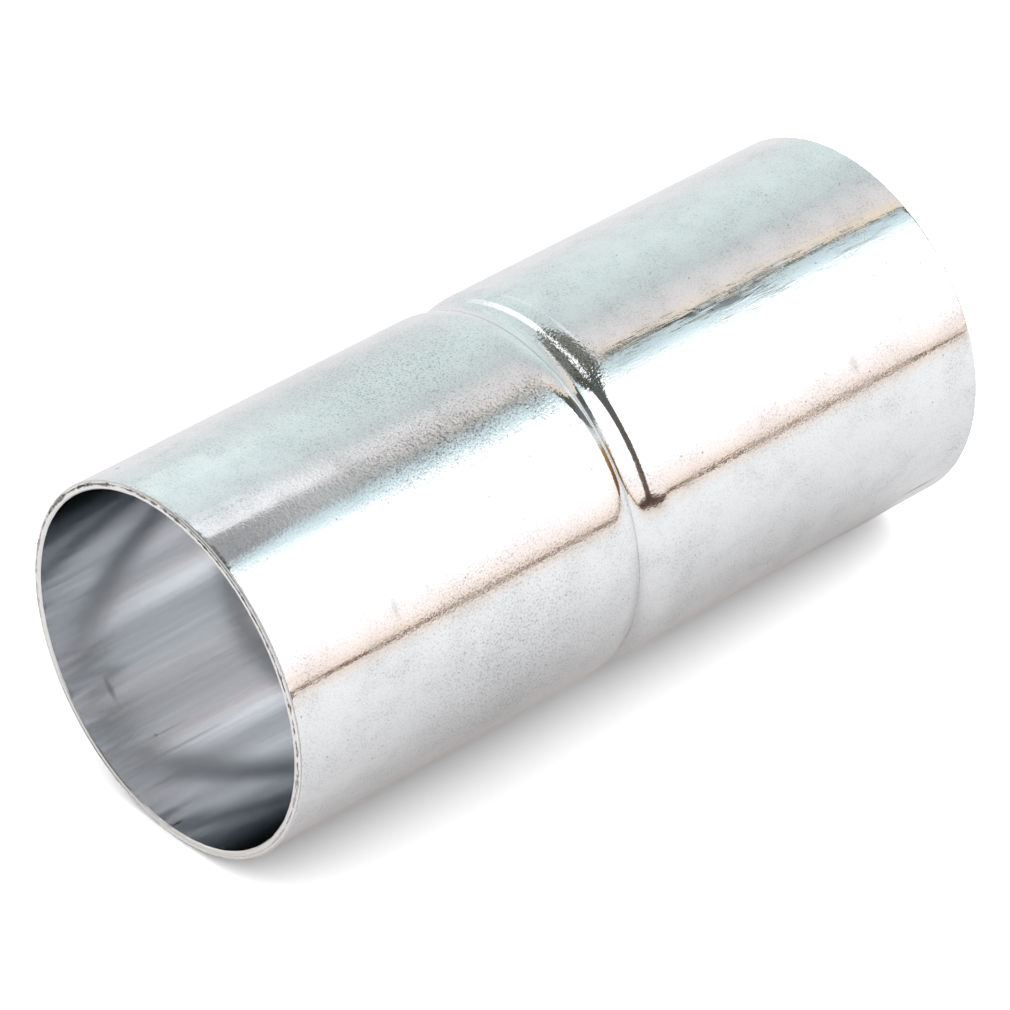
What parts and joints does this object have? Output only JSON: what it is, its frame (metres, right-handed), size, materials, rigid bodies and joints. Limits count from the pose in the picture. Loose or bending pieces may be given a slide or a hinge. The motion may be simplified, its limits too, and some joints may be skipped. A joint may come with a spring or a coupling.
{
  "type": "conduit coupling",
  "caption": "Plain zinc-plated steel sleeve that joins two rigid conduits end to end, with a groove rolled round its middle that stands inside as a stop bead.",
  "frame": {"origin": "centre of the lower cut end, on the surface that the sleeve stands on", "axes": "+Z along the sleeve's axis, from the lower end to the upper"},
  "size_m": [0.0264, 0.0264, 0.06],
  "materials": {
    "zinc_plated_steel": "bright electro-zinc plate, clear passivated, faintly mottled"
  },
  "bodies": {
    "root": {"coupling_sleeve": "zinc_plated_steel"}
  },
  "joints": []
}
